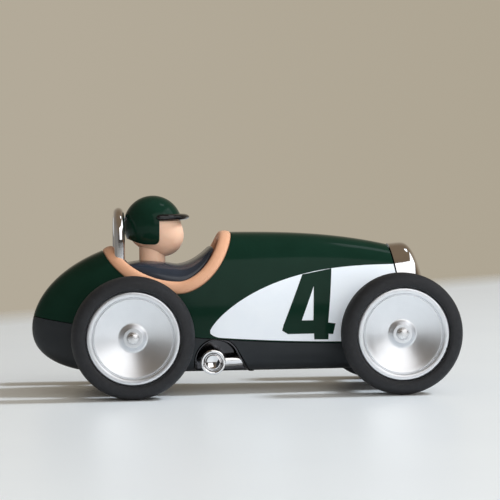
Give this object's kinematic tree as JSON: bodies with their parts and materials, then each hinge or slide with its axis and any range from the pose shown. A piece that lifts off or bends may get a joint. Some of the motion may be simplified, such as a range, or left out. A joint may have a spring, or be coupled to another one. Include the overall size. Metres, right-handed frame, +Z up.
{
  "type": "toy car",
  "caption": "Retro single-seat pull back racing car with a boat tail, a helmeted driver, roll hoop, disc wheels and a geared spring motor.",
  "frame": {"origin": "on the floor under the centre of the car's bounding box", "axes": "+X towards the radiator (the way it drives), +Y to the driver's left, +Z up"},
  "size_m": [0.1654, 0.076, 0.0773],
  "materials": {
    "green_paint": "deep green gloss lacquer",
    "white_paint": "white gloss lacquer",
    "chassis_black": "satin black moulded plastic",
    "leather_tan": "tan leather-look satin plastic",
    "cover_black": "gloss black",
    "skin": "satin skin-tone paint",
    "chrome": "bright chrome",
    "dark_chrome": "smoked chrome",
    "motor_plastic": "grey moulded plastic",
    "nylon": "natural nylon",
    "steel": "plain steel",
    "gear_brass": "machined brass",
    "wheel_metal": "satin silver",
    "tyre": "smooth matt rubber"
  },
  "bodies": {
    "car": {"body_shell": "green_paint", "flash_right": "white_paint", "flash_left": "white_paint", "chassis_tub": "chassis_black", "cockpit_rim": "leather_tan", "cockpit_liner": "leather_tan", "cockpit_cover": "cover_black", "roll_hoop": "chrome", "driver_head": "skin", "driver_helmet": "green_paint", "helmet_peak": "cover_black", "radiator_shell": "chrome", "radiator_grille": "dark_chrome", "exhaust_housing_right": "dark_chrome", "exhaust_housing_left": "dark_chrome", "exhaust_pipe_right": "chrome", "exhaust_pipe_left": "chrome", "front_bearing": "chassis_black", "motor_case_right": "motor_plastic", "motor_case_left": "motor_plastic", "motor_pins": "steel", "chassis_screws": "steel"},
    "front_wheels": {"front_axle": "steel", "tyre_front_right": "tyre", "tyre_front_left": "tyre", "disc_front_right": "wheel_metal", "disc_front_left": "wheel_metal", "hub_front_right": "chrome", "hub_front_left": "chrome"},
    "rear_wheels": {"rear_axle": "steel", "tyre_rear_right": "tyre", "tyre_rear_left": "tyre", "disc_rear_right": "wheel_metal", "disc_rear_left": "wheel_metal", "hub_rear_right": "chrome", "hub_rear_left": "chrome", "axle_pinion": "gear_brass"},
    "middle_gear": {"middle_gear": "nylon"},
    "spring_drum": {"drum_gear": "nylon", "mainspring": "steel"}
  },
  "joints": [
    {"name": "rear_axle_spin", "type": "hinge", "parent": "car", "child": "rear_wheels", "pos_m": [-0.0445, 0, 0.0235], "axis": [0, 1, 0], "continuous": true},
    {"name": "front_axle_spin", "type": "hinge", "parent": "car", "child": "front_wheels", "pos_m": [0.059, 0, 0.0235], "axis": [0, 1, 0], "continuous": true},
    {"name": "middle_gear_spin", "type": "hinge", "parent": "car", "child": "middle_gear", "pos_m": [-0.0347, 0, 0.02727], "axis": [0, 1, 0], "continuous": true},
    {"name": "spring_drum_spin", "type": "hinge", "parent": "car", "child": "spring_drum", "pos_m": [-0.0239, 0, 0.02332], "axis": [0, 1, 0], "continuous": true}
  ],
  "couplings": [
    {"joint": "middle_gear_spin", "follows": "rear_axle_spin", "ratio": -0.4},
    {"joint": "spring_drum_spin", "follows": "rear_axle_spin", "ratio": 0.11111}
  ]
}
